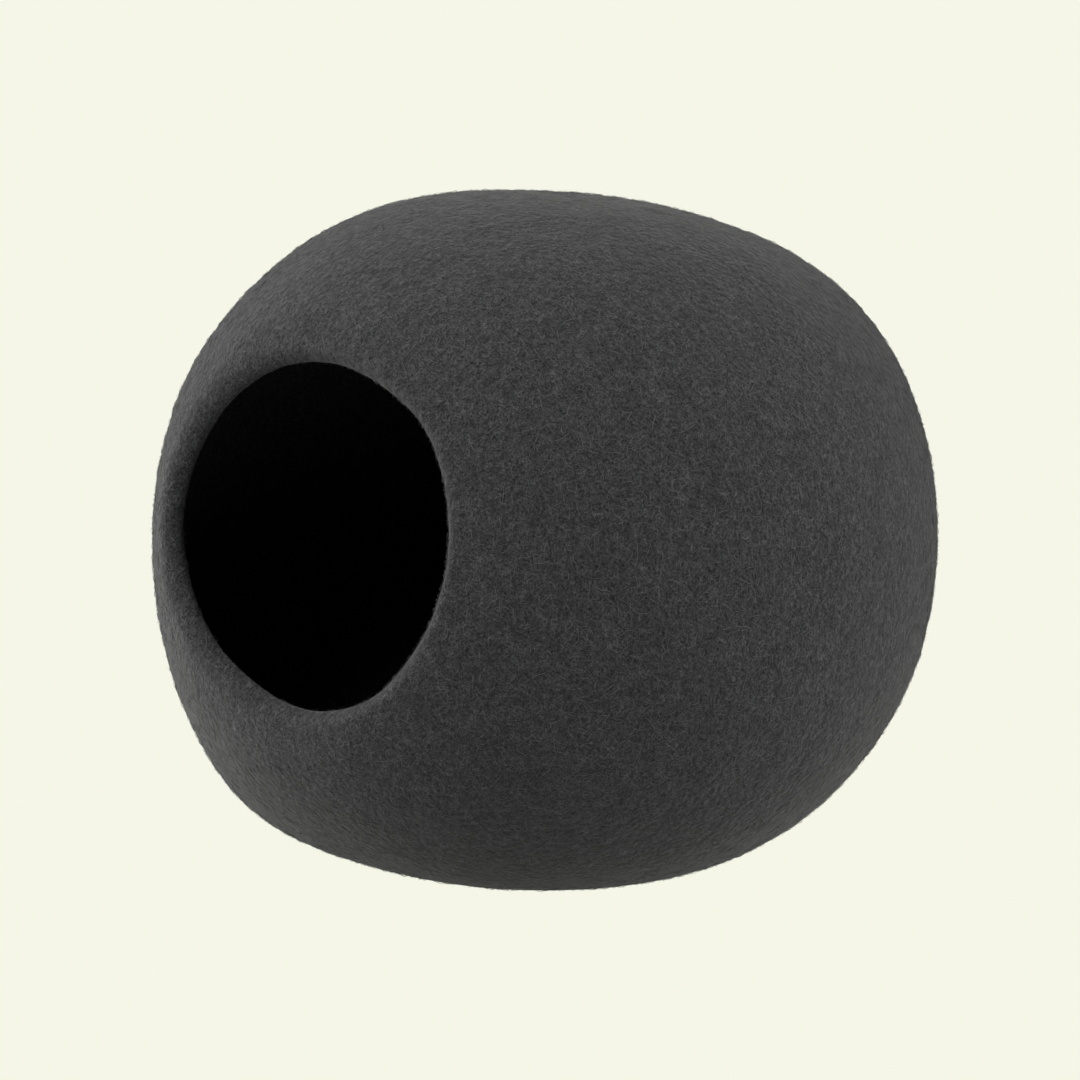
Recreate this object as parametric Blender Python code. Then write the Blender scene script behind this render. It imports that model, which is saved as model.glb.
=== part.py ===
# Felt cat cave: one seamless ball of thick wool felt with a round way in.
# It rests on Z = 0, its way in faces -Y, and sizes are metres and degrees unless named otherwise.

import math
from collections import namedtuple

import bmesh
import bpy
from mathutils import Vector

WIDTH = 0.4525          # widest across the ball
BALL_HEIGHT = 0.399     # of the ball before it settles
SETTLE = 0.0087         # how far its own weight presses the bottom flat
SETTLE_EASE = 0.0025    # height over which the flat bottom eases into the round
ROUNDNESS = 2.28        # 2 is an ellipsoid, more gives fuller shoulders

WALL = 0.009            # felt of the ball
FLOOR = 0.010           # felt of the flat bottom
LIP = 0.018             # felt at the edge of the opening, where it is worked thicker
OUTER_NOSE = 0.006      # how far along the outer face the edge rounds over where it is tightest
INNER_NOSE = 0.020      # and along the inner face, which is worked in gently by hand
LIP_SQUARENESS = 2.1    # 2 is a round edge, more is a squarer one
ROLL_REACH = 0.040      # width of the band that turns in towards the edge

OPENING_RISE = 7.0      # the opening looks this far above level

# The opening's edge every 30 degrees, by the hours of a clock face seen from the front, anticlockwise.
# half_angle is seen from the ball's centre, roll is how deep the edge turns in,
# and nose is how far along the outer face it rounds over.
EdgePoint = namedtuple("EdgePoint", "hour half_angle roll_mm nose_mm")
OPENING_EDGE = (
    EdgePoint(3, 28.2, 6.5, 6.0),
    EdgePoint(2, 27.8, 7.1, 6.0),
    EdgePoint(1, 25.8, 8.2, 6.0),
    EdgePoint(12, 25.4, 9.5, 7.0),
    EdgePoint(11, 26.3, 10.0, 9.5),
    EdgePoint(10, 27.8, 8.0, 11.0),
    EdgePoint(9, 28.0, 2.6, 10.5),
    EdgePoint(8, 27.1, 5.9, 11.0),
    EdgePoint(7, 25.7, 8.9, 8.5),
    EdgePoint(6, 26.8, 9.0, 6.0),
    EdgePoint(5, 27.8, 5.7, 6.0),
    EdgePoint(4, 28.1, 4.7, 6.0),
)

# Soft swellings and hollows of the hand-felted wall. turn runs from -Y towards +X.
Swell = namedtuple("Swell", "turn rise reach height_mm")
SWELLS = (
    Swell(132, 70, 22, -3.4),    # hollow beside the crown
    Swell(132, 41, 8, 1.2),      # far shoulder
    Swell(132, 15, 9, -1.8),     # and the flatter side under it
    Swell(-48, 63, 22, 3.1),     # full shoulder over the opening
    Swell(-48, 43, 8, -1.4),
    Swell(-48, 28, 22, -2.0),
    Swell(-48, -44, 17, 11.5),   # sag below the opening
    Swell(132, -29, 20, -3.2),   # tucked in low on the far side
    Swell(132, -58, 16, 2.0),    # and out again under it
    Swell(-125, 25, 30, 2.5),
    Swell(-150, -20, 28, -3.0),
    Swell(180, 35, 30, -2.5),
    Swell(85, 5, 24, 1.5),
    Swell(0, -90, 32, 1.4),      # fuller where it sits down on the floor
)

SEGMENTS = 64           # round the opening
FIRST_STEP = 0.005      # ring spacing, wider and wider from the edge to LAST_STEP
LAST_STEP = 0.020
STEP_GROWTH = 1.35
NOSE_RINGS = 11
BACK_HOLE = 0.012       # the last ring stops this far before the back, where a cap closes it

HALF_WIDTH = WIDTH / 2
HALF_HEIGHT = BALL_HEIGHT / 2
MEAN_RADIUS = (HALF_WIDTH + HALF_HEIGHT) / 2
MEAN_HALF_ANGLE = math.radians(27)
EDGE_TO_BACK = (math.pi - MEAN_HALF_ANGLE) * MEAN_RADIUS


def direction(turn, rise):
    """Unit vector from degrees of turn (-Y towards +X) and of rise."""
    turn = math.radians(turn)
    rise = math.radians(rise)
    return Vector((math.sin(turn) * math.cos(rise), -math.cos(turn) * math.cos(rise), math.sin(rise)))


OPENING_AXIS = direction(0, OPENING_RISE)
OPENING_RIGHT = direction(90, 0)
OPENING_UP = direction(0, OPENING_RISE + 90)
SWELL_SHAPES = [(direction(s.turn, s.rise), math.radians(s.reach), s.height_mm / 1000) for s in SWELLS]


def along_edge(values, around):
    """Smooth curve through values spaced evenly round the opening."""
    place = around / (2 * math.pi) * len(values)
    index = math.floor(place)
    t = place - index
    a, b, c, d = (values[(index + k) % len(values)] for k in (-1, 0, 1, 2))
    return b + t / 2 * (c - a + t * (2 * a - 5 * b + 4 * c - d + t * (3 * (b - c) + d - a)))


def ball_radius(way):
    """Distance from the ball's centre to its outer face, with the swellings."""
    across = math.hypot(way.x, way.y) / HALF_WIDTH
    upright = abs(way.z) / HALF_HEIGHT
    radius = (across ** ROUNDNESS + upright ** ROUNDNESS) ** (-1 / ROUNDNESS)
    for middle, reach, height in SWELL_SHAPES:
        radius += height * math.exp(-(way.angle(middle) / reach) ** 2)
    return radius


def settled(height, bottom):
    """Height of a point once the ball rests: nothing below the bottom, with an easy rise out of it."""
    lift = height - bottom
    if lift >= SETTLE_EASE:
        return height
    return bottom + max(0.0, lift + SETTLE_EASE) ** 2 / (4 * SETTLE_EASE)


def felt_point(around, distance, side):
    """A point of the wall: distance from the opening's edge, side -1 outer face to 1 inner face."""
    if side < 0:
        nose = along_edge([point.nose_mm for point in OPENING_EDGE], around) / 1000
        distance += (nose - OUTER_NOSE) * min(1.0, distance / OUTER_NOSE)
    half_angle = math.radians(along_edge([point.half_angle for point in OPENING_EDGE], around))
    roll = along_edge([point.roll_mm for point in OPENING_EDGE], around) / 1000
    angle = half_angle + distance / EDGE_TO_BACK * (math.pi - half_angle)
    sideways = OPENING_RIGHT * math.cos(around) + OPENING_UP * math.sin(around)
    way = OPENING_AXIS * math.cos(angle) + sideways * math.sin(angle)

    nearness = max(0.0, 1 - distance / ROLL_REACH) ** 2
    half_wall = (WALL + (LIP - WALL) * nearness) / 2
    depth = WALL / 2 + roll * nearness + side * half_wall
    point = way * (ball_radius(way) - depth)
    point.z = settled(point.z + HALF_HEIGHT - SETTLE, FLOOR if side > 0 else 0.0)
    return point


def ring_distances(start):
    """Distances from the opening's edge, wider and wider apart, from the nose to the back."""
    distances = []
    distance = start
    step = FIRST_STEP
    while distance + step < EDGE_TO_BACK - BACK_HOLE:
        distance += step
        distances.append(distance)
        step = min(step * STEP_GROWTH, LAST_STEP)
    return distances


def wall_section():
    """Section of the wall as (distance, side), from the outer back round the edge to the inner back."""
    outer = [(distance, -1) for distance in reversed(ring_distances(OUTER_NOSE))]
    inner = [(distance, 1) for distance in ring_distances(INNER_NOSE)]
    nose = []
    for ring in range(NOSE_RINGS):
        sweep = math.pi * ring / (NOSE_RINGS - 1)
        reach = OUTER_NOSE if sweep < math.pi / 2 else INNER_NOSE
        inset = reach * (1 - abs(math.sin(sweep)) ** (2 / LIP_SQUARENESS))
        side = abs(math.cos(sweep)) ** (2 / LIP_SQUARENESS)
        nose.append((inset, math.copysign(side, -math.cos(sweep))))
    return outer + nose + inner


def felt_mesh():
    """The whole wall as one closed skin: rings round the opening, capped at the back."""
    bm = bmesh.new()
    turns = [2 * math.pi * step / SEGMENTS for step in range(SEGMENTS)]
    rings = []
    for distance, side in wall_section():
        rings.append([bm.verts.new(felt_point(around, distance, side)) for around in turns])
    for ring, following in zip(rings, rings[1:]):
        for i in range(SEGMENTS):
            j = (i + 1) % SEGMENTS
            bm.faces.new((ring[i], ring[j], following[j], following[i]))
    caps = [bm.faces.new(rings[0]), bm.faces.new(rings[-1])]
    bmesh.ops.poke(bm, faces=caps)
    bmesh.ops.recalc_face_normals(bm, faces=bm.faces)

    # the frame's origin is under the middle of the whole cave, opening included
    for axis in (0, 1):
        places = [vert.co[axis] for vert in bm.verts]
        middle = (min(places) + max(places)) / 2
        for vert in bm.verts:
            vert.co[axis] -= middle

    mesh = bpy.data.meshes.new("felt_shell")
    bm.to_mesh(mesh)
    bm.free()
    mesh.shade_smooth()
    return mesh


def charcoal_felt():
    material = bpy.data.materials.new("charcoal_wool_felt")
    material.use_nodes = True
    shader = material.node_tree.nodes["Principled BSDF"]
    shader.inputs["Base Color"].default_value = (0.045, 0.045, 0.045, 1)
    shader.inputs["Roughness"].default_value = 0.95
    shader.inputs["Metallic"].default_value = 0.0
    return material


for old in list(bpy.data.objects):
    bpy.data.objects.remove(old, do_unlink=True)

felt_shell = bpy.data.objects.new("felt_shell", felt_mesh())
felt_shell.data.materials.append(charcoal_felt())
bpy.context.collection.objects.link(felt_shell)
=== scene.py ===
import math

import bpy
import numpy as np
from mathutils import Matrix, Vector
from mathutils.bvhtree import BVHTree


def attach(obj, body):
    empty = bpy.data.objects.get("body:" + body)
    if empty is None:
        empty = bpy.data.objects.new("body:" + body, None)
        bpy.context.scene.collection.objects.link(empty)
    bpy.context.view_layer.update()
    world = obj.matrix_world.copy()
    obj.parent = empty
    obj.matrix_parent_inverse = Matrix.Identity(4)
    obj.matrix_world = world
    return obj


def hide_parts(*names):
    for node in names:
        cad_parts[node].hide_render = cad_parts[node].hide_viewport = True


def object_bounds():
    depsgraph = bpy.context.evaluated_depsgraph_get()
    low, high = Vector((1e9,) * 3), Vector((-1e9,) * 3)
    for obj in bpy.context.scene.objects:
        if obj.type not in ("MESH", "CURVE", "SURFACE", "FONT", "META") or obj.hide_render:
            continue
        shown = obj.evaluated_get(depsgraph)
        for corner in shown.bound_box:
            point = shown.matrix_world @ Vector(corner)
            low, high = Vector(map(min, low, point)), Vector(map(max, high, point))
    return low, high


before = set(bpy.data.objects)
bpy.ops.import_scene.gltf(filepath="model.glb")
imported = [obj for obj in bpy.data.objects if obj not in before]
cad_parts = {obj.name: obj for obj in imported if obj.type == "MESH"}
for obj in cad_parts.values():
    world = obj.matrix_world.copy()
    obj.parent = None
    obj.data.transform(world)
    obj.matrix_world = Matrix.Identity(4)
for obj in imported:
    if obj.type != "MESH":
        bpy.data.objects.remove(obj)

cadLow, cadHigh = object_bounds()
mm = 0.001
caveMiddle = Vector(((cadLow.x + cadHigh.x) / 2, (cadLow.y + cadHigh.y) / 2, (cadLow.z + cadHigh.z) / 2))
print("frame loaded, cave", [round(v, 3) for v in (*cadLow, *cadHigh)])


def toLinear(hexCode):
    # sRGB as in a colour picker, to the linear light that the shaders work in
    channels = [int(hexCode[i:i + 2], 16) / 255 for i in (1, 3, 5)]
    linear = [c / 12.92 if c <= 0.04045 else ((c + 0.055) / 1.055) ** 2.4 for c in channels]
    return (*linear, 1.0)


def addNode(tree, kind, inputs=None, **settings):
    # inputs holds numbers, colours or the sockets to link from, by input name or place
    node = tree.nodes.new(kind)
    for key, value in settings.items():
        setattr(node, key, value)
    for key, value in (inputs or {}).items():
        if isinstance(value, bpy.types.NodeSocket):
            tree.links.new(value, node.inputs[key])
        else:
            node.inputs[key].default_value = value
    return node


def wayTo(turn, rise):
    # a way out from the middle: degrees of turn from the front towards +X, and of rise
    turn, rise = math.radians(turn), math.radians(rise)
    return Vector((math.sin(turn) * math.cos(rise), -math.cos(turn) * math.cos(rise), math.sin(rise)))


def pickOnly(thing):
    bpy.ops.object.select_all(action="DESELECT")
    thing.select_set(True)
    bpy.context.view_layer.objects.active = thing


def applyAll(thing):
    pickOnly(thing)
    for modifier in list(thing.modifiers):
        bpy.ops.object.modifier_apply(modifier=modifier.name)


# the camera stands 42 degrees round from the way in and a little above
cameraPlace = {
    "turn": 42, "rise": 8, "distance": 2.2,
    "lens": 127, "sensor": 36,             # both in mm
    "lookAt": (-0.0019, -0.0107, 0.1889),
}


def addCamera():
    away = wayTo(cameraPlace["turn"], cameraPlace["rise"])
    lookAt = Vector(cameraPlace["lookAt"])
    bpy.ops.object.camera_add(location=lookAt + away * cameraPlace["distance"])
    camera = bpy.context.object
    camera.name = "camera"
    camera.data.lens = cameraPlace["lens"]
    camera.data.sensor_width = cameraPlace["sensor"]
    camera.rotation_euler = (-away).to_track_quat("-Z", "Y").to_euler()
    bpy.context.scene.camera = camera


addCamera()
print("camera placed")


# felt wall: the solid's own shape, smoothed, and heaved a little as hand felting leaves it
feltWall = {
    "weld": 0.02 * mm,         # corners of the solid's triangles that are this close are one
    "flatAngle": 50, "shapeAngle": 60,     # degrees within which two triangles become a quad
    "smoothing": 2,            # subdivision levels
    "heave": (("broadHeave", 46 * mm, 0.8 * mm), ("handHeave", 17 * mm, 0.3 * mm)),   # name, size, height
    "calmBelow": 2 * mm,       # no heaving under this height
    "calmFade": 14 * mm,       # and over this much more it comes in
}


def makeFeltWall():
    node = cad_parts["felt_shell"]
    pickOnly(node)
    bpy.ops.object.duplicate()
    wall = bpy.context.object
    wall.name = "felt_wall"
    bpy.ops.object.mode_set(mode="EDIT")
    bpy.ops.mesh.select_all(action="SELECT")
    bpy.ops.mesh.remove_doubles(threshold=feltWall["weld"])
    bpy.ops.mesh.tris_convert_to_quads(face_threshold=math.radians(feltWall["flatAngle"]),
                                       shape_threshold=math.radians(feltWall["shapeAngle"]))
    bpy.ops.object.mode_set(mode="OBJECT")
    wall.data.materials.clear()

    smoothing = wall.modifiers.new("smoothing", "SUBSURF")
    smoothing.levels = smoothing.render_levels = feltWall["smoothing"]
    applyAll(wall)

    # the heaving dies away where the felt lies on the floor
    free = wall.vertex_groups.new(name="free")
    for vert in wall.data.vertices:
        lift = min(1.0, max(0.0, (vert.co.z - feltWall["calmBelow"]) / feltWall["calmFade"]))
        free.add([vert.index], lift * lift * (3 - 2 * lift), "REPLACE")
    for name, size, height in feltWall["heave"]:
        texture = bpy.data.textures.new(name, "CLOUDS")
        texture.noise_scale = size
        texture.noise_depth = 1            # soft, with little fine detail
        heave = wall.modifiers.new(name, "DISPLACE")
        heave.texture = texture
        heave.texture_coords = "LOCAL"
        heave.strength = height * 2        # as much out as in
        heave.mid_level = 0.5
        heave.vertex_group = "free"
    applyAll(wall)
    wall.vertex_groups.clear()
    bpy.ops.object.shade_smooth()
    return wall


wall = makeFeltWall()
print("felt wall", len(wall.data.polygons), "faces")


# wool felt, wet felted by hand from carded charcoal wool: dead matt and finely grained to the eye, with
# pits between the matted fibres darkened in the colour as painted shade, a web of paler fibres over it,
# and a faint bloom where it turns away
woolFelt = {
    # the colour of the pits, and how far they are darkened towards it, are painted shade that stands in for
    # the shade falling into them
    "ground": "#252526", "paintedPitShade": "#131314", "fibre": "#4b4b4c",
    "pitSize": 1.3 * mm, "pitShadeDepth": 0.85,
    "pitShadeFrom": 0.52, "pitShadeFull": 0.26,              # noise values where the painted shade of the pits begins and where it is darkest
    "patchSize": 3.6 * mm, "patchDepth": 0.27,     # matting is closer in some patches than in others
    "cloudSize": 12 * mm, "cloudDepth": 0.11,      # and so it is more broadly
    "toneFrom": 0.3, "toneFull": 0.7,              # noise values of their darkest and palest
    "webFrom": 0.56, "webFull": 0.86,              # noise values where a fibre begins and where it is palest
    "wanderSize": 8 * mm, "wanderReach": 3 * mm,   # the bends in a fibre's way, and how far they carry it
    # the web's fibres lie along six directions spread evenly in space: turn about y, turn about z, width.
    # wool is 0.02 to 0.04 mm thick, so a fibre here stands for a lock of them, coarse enough to show
    "lays": (
        (0, 0, 0.70 * mm), (63, 20, 0.62 * mm), (63, 92, 0.72 * mm),
        (63, 164, 0.64 * mm), (63, 236, 0.74 * mm), (63, 308, 0.68 * mm),
    ),
    "layShift": 0.31,          # metres between one lay's noise and the next, so that no two are alike
    "fibreStretch": 12,        # how much longer than wide a fibre shows before it dips under the next
    "pitRelief": 0.45 * mm, "patchRelief": 1.3 * mm,   # relief over each noise's whole range, 0 to 1
    "roughness": 0.95, "specular": 0.2,
    "sheen": 0.10, "sheenRoughness": 0.5, "sheenTint": "#e4e3de",
}


def woolFeltMaterial():
    facts = woolFelt
    material = bpy.data.materials.new("charcoal_wool_felt_wet_felted")
    material.use_nodes = True
    tree = material.node_tree
    tree.nodes.clear()
    place = addNode(tree, "ShaderNodeTexCoord").outputs["Object"]

    # a slow noise, taken to either side of its middle value, bends every fibre
    wander = addNode(tree, "ShaderNodeTexNoise", {"Vector": place, "Scale": 1 / facts["wanderSize"],
                     "Detail": 0.0})
    bend = addNode(tree, "ShaderNodeVectorMath", {0: wander.outputs["Color"], 1: (0.5, 0.5, 0.5)},
                   operation="SUBTRACT")
    bent = addNode(tree, "ShaderNodeVectorMath", {0: bend.outputs[0], 1: (facts["wanderReach"],) * 3,
                   2: place}, operation="MULTIPLY_ADD").outputs[0]

    # each lay is a stretched noise, and the topmost fibre is the one that shows
    top = None
    for number, (lean, turn, width) in enumerate(facts["lays"]):
        turned = addNode(tree, "ShaderNodeMapping", {"Vector": bent,
                         "Location": [facts["layShift"] * number] * 3,
                         "Rotation": (0, math.radians(lean), math.radians(turn)),
                         "Scale": (1.0, 1.0, facts["fibreStretch"])}, vector_type="TEXTURE")
        lay = addNode(tree, "ShaderNodeTexNoise", {"Vector": turned.outputs[0], "Scale": 1 / width,
                      "Detail": 0.0}).outputs["Fac"]
        top = lay if top is None else addNode(tree, "ShaderNodeMath", {0: top, 1: lay},
                                              operation="MAXIMUM").outputs[0]
    web = addNode(tree, "ShaderNodeMapRange", {"Value": top, "From Min": facts["webFrom"],
                  "From Max": facts["webFull"], "To Min": 0.0, "To Max": 1.0}).outputs[0]

    pits = addNode(tree, "ShaderNodeTexNoise", {"Vector": place, "Scale": 1 / facts["pitSize"],
                   "Detail": 1.0}).outputs["Fac"]
    # painted shade: the colour darkens towards the pits' depths, standing in for the shade that falls into
    # them
    paintedPitShade = addNode(tree, "ShaderNodeMapRange", {"Value": pits, "From Min": facts["pitShadeFrom"],
                  "From Max": facts["pitShadeFull"], "To Min": 0.0, "To Max": facts["pitShadeDepth"]}).outputs[0]
    noises, tones = [], []
    for name in ("patch", "cloud"):
        noise = addNode(tree, "ShaderNodeTexNoise", {"Vector": place, "Scale": 1 / facts[name + "Size"],
                        "Detail": 1.0}).outputs["Fac"]
        noises.append(noise)
        tones.append(addNode(tree, "ShaderNodeMapRange", {"Value": noise, "From Min": facts["toneFrom"],
                     "From Max": facts["toneFull"], "To Min": 1 - facts[name + "Depth"],
                     "To Max": 1 + facts[name + "Depth"]}).outputs[0])

    # a colour Mix node takes its colours at inputs 6 and 7
    webbed = addNode(tree, "ShaderNodeMix", {0: web, 6: toLinear(facts["ground"]),
                     7: toLinear(facts["fibre"])}, data_type="RGBA").outputs[2]
    # the painted shade of the pits is mixed into the colour here
    withPaintedPitShade = addNode(tree, "ShaderNodeMix", {0: paintedPitShade, 6: webbed, 7: toLinear(facts["paintedPitShade"])},
                     data_type="RGBA").outputs[2]
    tone = addNode(tree, "ShaderNodeMath", {0: tones[0], 1: tones[1]}, operation="MULTIPLY").outputs[0]
    colour = addNode(tree, "ShaderNodeVectorMath", {0: withPaintedPitShade, "Scale": tone}, operation="SCALE").outputs[0]

    # the pits and the patches stand in relief together
    hollows = addNode(tree, "ShaderNodeMath", {0: pits, 1: facts["pitRelief"]},
                      operation="MULTIPLY").outputs[0]
    relief = addNode(tree, "ShaderNodeMath", {0: noises[0], 1: facts["patchRelief"], 2: hollows},
                     operation="MULTIPLY_ADD").outputs[0]
    bump = addNode(tree, "ShaderNodeBump", {"Height": relief, "Distance": 1.0, "Strength": 1.0})
    shader = addNode(tree, "ShaderNodeBsdfPrincipled", {
        "Base Color": colour, "Normal": bump.outputs[0],
        "Roughness": facts["roughness"], "Metallic": 0.0, "Specular IOR Level": facts["specular"],
        "Sheen Weight": facts["sheen"], "Sheen Roughness": facts["sheenRoughness"],
        "Sheen Tint": toLinear(facts["sheenTint"]),
    })
    addNode(tree, "ShaderNodeOutputMaterial", {"Surface": shader.outputs[0]})
    return material


wall.data.materials.append(woolFeltMaterial())
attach(wall, "root")
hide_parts("felt_shell")
print("wool felt laid on")


# loose wool: fibres matted over the felt, most sinking back into it at both ends, and short fuzz.
# thickness is drawn coarse, as locks of a few fibres, because a single one would not show.
# curl is how much a fibre bends at each point, lift how far it stands off the felt, freeEnds the share with
# one end loose, and edge how many times denser they lie round the edge of the way in
looseWool = {
    "stray_fibres": {"count": 800, "length": (6 * mm, 14 * mm), "thick": 0.20 * mm, "points": 8,
                     "curl": 0.18, "lift": 0.50 * mm, "freeEnds": 0.12, "edge": 1.0,
                     "tone": "#606060", "seed": 11},
    "pale_fibres": {"count": 7200, "length": (4 * mm, 12 * mm), "thick": 0.21 * mm, "points": 5,
                    "curl": 0.20, "lift": 0.55 * mm, "freeEnds": 0.08, "edge": 1.0,
                    "tone": "#5d5d5d", "seed": 12},
    "grey_fibres": {"count": 7600, "length": (4 * mm, 9 * mm), "thick": 0.22 * mm, "points": 5,
                    "curl": 0.16, "lift": 0.55 * mm, "freeEnds": 0.05, "edge": 1.0,
                    "tone": "#505050", "seed": 13},
    "fine_fibres": {"count": 7800, "length": (3 * mm, 6 * mm), "thick": 0.20 * mm, "points": 4,
                    "curl": 0.14, "lift": 0.50 * mm, "freeEnds": 0.05, "edge": 1.0,
                    "tone": "#535354", "seed": 14},
    "fuzz": {"count": 24000, "length": (1.0 * mm, 2.4 * mm), "thick": 0.14 * mm, "points": 2,
             "curl": 0.14, "lift": 0.75 * mm, "freeEnds": 1.0, "edge": 1.5,
             "tone": "#5c5c5d", "seed": 15},
    "edge_fuzz": {"count": 3000, "length": (1.6 * mm, 4.0 * mm), "thick": 0.14 * mm, "points": 4,
                  "curl": 0.25, "lift": 0.9 * mm, "freeEnds": 0.5, "edge": 2000.0,
                  "tone": "#4a4a4b", "seed": 16},
}
woolSpread = {
    "clumping": 0.9,           # 0 spreads the fibres evenly, more gathers them in tufts
    "scatter": 1.2 * mm,       # how far a fibre starts from the middle of its face
    "insideShare": 0.10,       # fibres on the inside, as a share of what an equal outside area gets
    "wayInRise": 7,            # degrees above level that the way in looks, to the front
    "edgeReach": 29,           # degrees from its middle to just past its edge, where handling raises a fuzz
    "bareBase": 3 * mm,        # none where the felt lies on the floor
}
fibreForm = {
    "sides": 3,                # enough for a fibre a fifth of a millimetre thick
    "sunk": 0.35,              # how deep its ends lie in the felt, in thicknesses
    "unevenLift": (0.1, 1.9), "unevenThick": (0.75, 1.15),
    "tip": 0.4,                # thickness at its ends, as a share
}


def fibreProfile():
    # a ring of radius 1, so that each point's own radius is the fibre's
    bpy.ops.object.select_all(action="DESELECT")
    bpy.ops.mesh.primitive_circle_add(vertices=fibreForm["sides"], radius=1.0)
    bpy.ops.object.convert(target="CURVE")
    return bpy.context.object


def fibreStarts(wallMesh):
    # faces to start fibres from, by area: the outside in full, the inside thinly, the base not at all
    count = len(wallMesh.polygons)
    areas, centres, normals = np.empty(count), np.empty(count * 3), np.empty(count * 3)
    wallMesh.polygons.foreach_get("area", areas)
    wallMesh.polygons.foreach_get("center", centres)
    wallMesh.polygons.foreach_get("normal", normals)
    centres = centres.reshape(-1, 3)
    normals = normals.reshape(-1, 3)
    away = centres - np.array(caveMiddle)
    outward = (away * normals).sum(1) > 0
    rise = math.radians(woolSpread["wayInRise"])
    wayIn = np.array((0, -math.cos(rise), math.sin(rise)))
    byEdge = away @ wayIn > np.linalg.norm(away, axis=1) * math.cos(math.radians(woolSpread["edgeReach"]))
    offFloor = centres[:, 2] > woolSpread["bareBase"]
    weights = areas * np.where(outward, 1.0, woolSpread["insideShare"]) * offFloor
    return centres, normals, weights, byEdge


def fibrePath(start, normal, facts, rng, feltTree):
    # walks over the felt in a gently bending line
    steps = facts["points"] - 1
    stride = rng.uniform(*facts["length"]) / steps
    turn = rng.uniform(0, 2 * math.pi)
    side = normal.orthogonal().normalized()
    heading = side * math.cos(turn) + normal.cross(side) * math.sin(turn)
    bend = rng.normal(0, facts["curl"])
    freeEnd = rng.random() < facts["freeEnds"]
    sunk = fibreForm["sunk"] * facts["thick"]
    place = start
    path = []
    for step in range(steps + 1):
        hit, normal, _, _ = feltTree.find_nearest(place)
        along = step / steps
        rise = along if freeEnd else math.sin(math.pi * along)
        path.append(hit + normal * (facts["lift"] * rise * rng.uniform(*fibreForm["unevenLift"]) - sunk))
        heading = (heading - normal * heading.dot(normal)).normalized()
        bend += rng.normal(0, facts["curl"])
        heading = heading * math.cos(bend) + normal.cross(heading) * math.sin(bend)
        place = hit + heading * stride
    return path


def makeLooseWool(name, facts, starts, feltTree, profile):
    rng = np.random.default_rng(facts["seed"])
    centres, normals, weights, byEdge = starts
    tufts = np.exp(woolSpread["clumping"] * rng.normal(0, 1, len(weights)))
    weights = weights * np.where(byEdge, facts["edge"], 1.0) * tufts
    weights /= weights.sum()
    curve = bpy.data.curves.new(name, "CURVE")
    curve.dimensions = "3D"
    curve.bevel_mode = "OBJECT"
    curve.bevel_object = profile
    curve.use_fill_caps = True
    for pick in rng.choice(len(weights), facts["count"], p=weights):
        start = Vector(centres[pick] + rng.normal(0, woolSpread["scatter"], 3))
        path = fibrePath(start, Vector(normals[pick]), facts, rng, feltTree)
        spline = curve.splines.new("POLY")
        spline.points.add(len(path) - 1)
        spline.points.foreach_set("co", [c for point in path for c in (*point, 1.0)])
        radius = facts["thick"] / 2 * rng.uniform(*fibreForm["unevenThick"])
        tip = radius * fibreForm["tip"]
        spline.points.foreach_set("radius", [tip] + [radius] * (len(path) - 2) + [tip])
    fibres = bpy.data.objects.new(name, curve)
    bpy.context.collection.objects.link(fibres)
    pickOnly(fibres)
    bpy.ops.object.convert(target="MESH")
    fibres = bpy.context.object
    bpy.ops.object.shade_smooth()
    return fibres


def fibreMaterial(name, tone):
    # wool fibre, carded and dyed: a matt, scaly thread, plain to the eye, a little paler than the felt
    material = bpy.data.materials.new(name)
    material.use_nodes = True
    shader = material.node_tree.nodes["Principled BSDF"]
    shader.inputs["Base Color"].default_value = toLinear(tone)
    shader.inputs["Roughness"].default_value = 0.85
    shader.inputs["Specular IOR Level"].default_value = woolFelt["specular"]
    return material


starts = fibreStarts(wall.data)
feltTree = BVHTree.FromPolygons([vert.co for vert in wall.data.vertices],
                                [face.vertices for face in wall.data.polygons])
profile = fibreProfile()
for name, facts in looseWool.items():
    fibres = makeLooseWool(name, facts, starts, feltTree, profile)
    fibres.data.materials.append(fibreMaterial("dyed_wool_" + name, facts["tone"]))
    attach(fibres, "root")
    print(name, sum(len(face.vertices) - 2 for face in fibres.data.polygons), "triangles")
bpy.data.objects.remove(profile)


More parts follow.
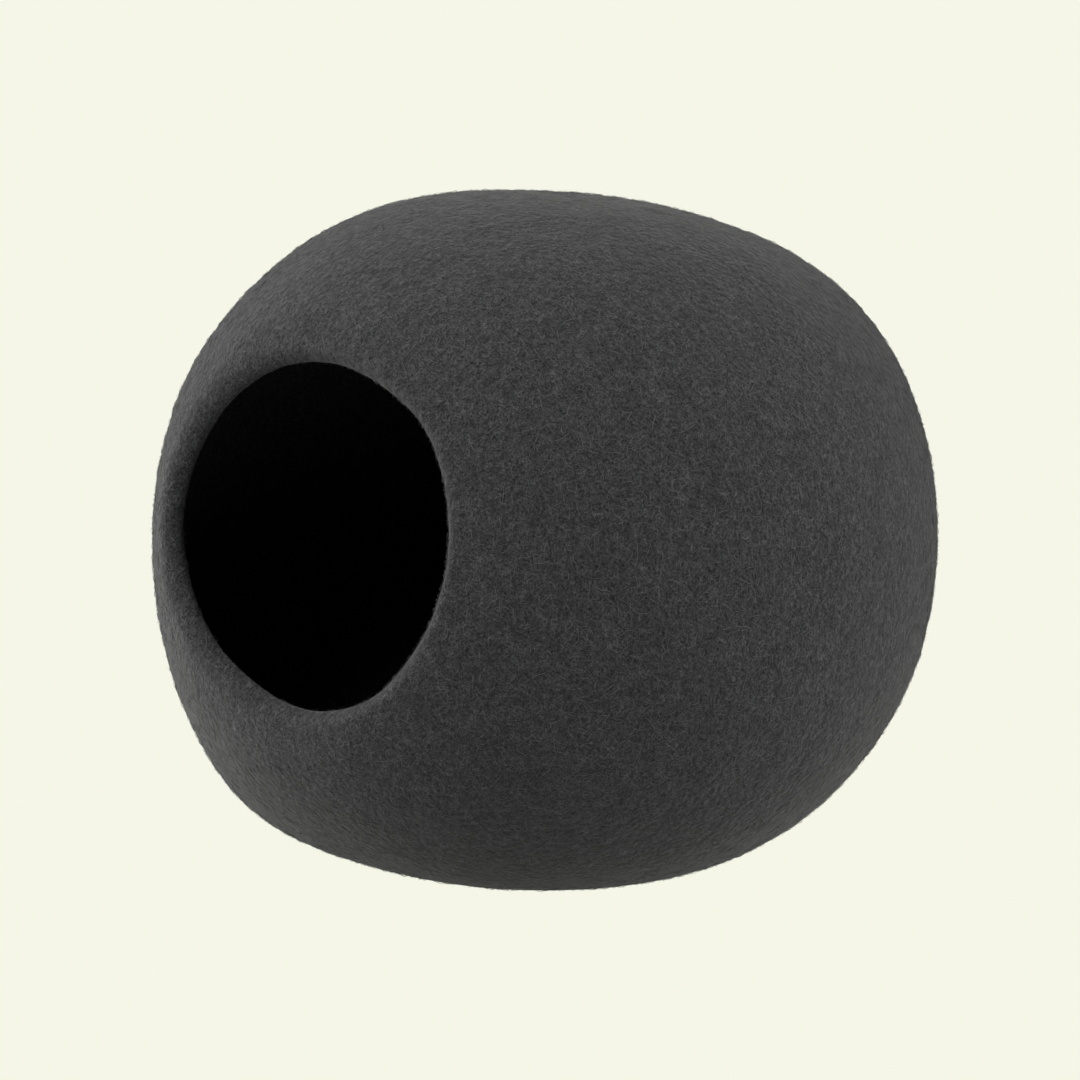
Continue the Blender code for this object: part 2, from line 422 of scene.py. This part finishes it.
# floor and light: one pale ground that meets its background without a line
studio = {
    "ground": "#f5f6e7",
    "floorSize": 60.0,
    "floorDrop": 0.2 * mm,             # just under the felt, so that the two don't share a plane
    "floorGlow": 1.0,                  # the floor is a table lit so brightly that no shadow shows on it
    "lampDistance": 3.0,               # any will do, because a sun lamp lights alike from everywhere
    # soft boxes far off: turn from the front towards +X, rise, strength, and width, with angles in degrees.
    # the low one stands for the light that the lit table throws up
    "softBoxes": (
        ("softFront", -18, 40, 3.40, 70),
        ("softLeft", -78, 12, 3.42, 70),
        ("softRight", 132, 12, 3.81, 70),
        ("softLowFront", 42, -45, 1.17, 70),
    ),
}


def addFloor():
    bpy.ops.mesh.primitive_plane_add(size=studio["floorSize"], location=(0, 0, -studio["floorDrop"]))
    floor = bpy.context.object
    floor.name = "floor"
    floor.visible_diffuse = False      # the low soft box gives its light instead, from under it
    floor.visible_shadow = False
    # opal acrylic table top, lit from below: even and without gloss
    material = bpy.data.materials.new("opal_acrylic_table")
    material.use_nodes = True
    shader = material.node_tree.nodes["Principled BSDF"]
    shader.inputs["Base Color"].default_value = (0.0, 0.0, 0.0, 1.0)
    shader.inputs["Roughness"].default_value = 1.0
    shader.inputs["Specular IOR Level"].default_value = 0.0
    shader.inputs["Emission Color"].default_value = toLinear(studio["ground"])
    shader.inputs["Emission Strength"].default_value = studio["floorGlow"]
    material.cycles.emission_sampling = "NONE"      # the soft boxes light the cave, not the table
    floor.data.materials.append(material)


def addLight():
    world = bpy.data.worlds.new("studio")
    world.use_nodes = True
    tree = world.node_tree
    tree.nodes.clear()
    # the backdrop is the floor's own colour and gives no light of its own
    seen = addNode(tree, "ShaderNodeLightPath").outputs["Is Camera Ray"]
    backdrop = addNode(tree, "ShaderNodeBackground", {"Color": toLinear(studio["ground"]),
                       "Strength": seen})
    addNode(tree, "ShaderNodeOutputWorld", {"Surface": backdrop.outputs[0]})
    world.cycles.sampling_method = "NONE"
    bpy.context.scene.world = world

    for name, turn, rise, strength, width in studio["softBoxes"]:
        towards = wayTo(turn, rise)
        bpy.ops.object.light_add(type="SUN", location=caveMiddle + towards * studio["lampDistance"])
        softBox = bpy.context.object
        softBox.name = name
        softBox.rotation_euler = towards.to_track_quat("Z", "Y").to_euler()
        softBox.data.energy = strength
        softBox.data.angle = math.radians(width)


addFloor()
addLight()
bpy.context.scene.view_settings.view_transform = "Standard"
print("studio ready")
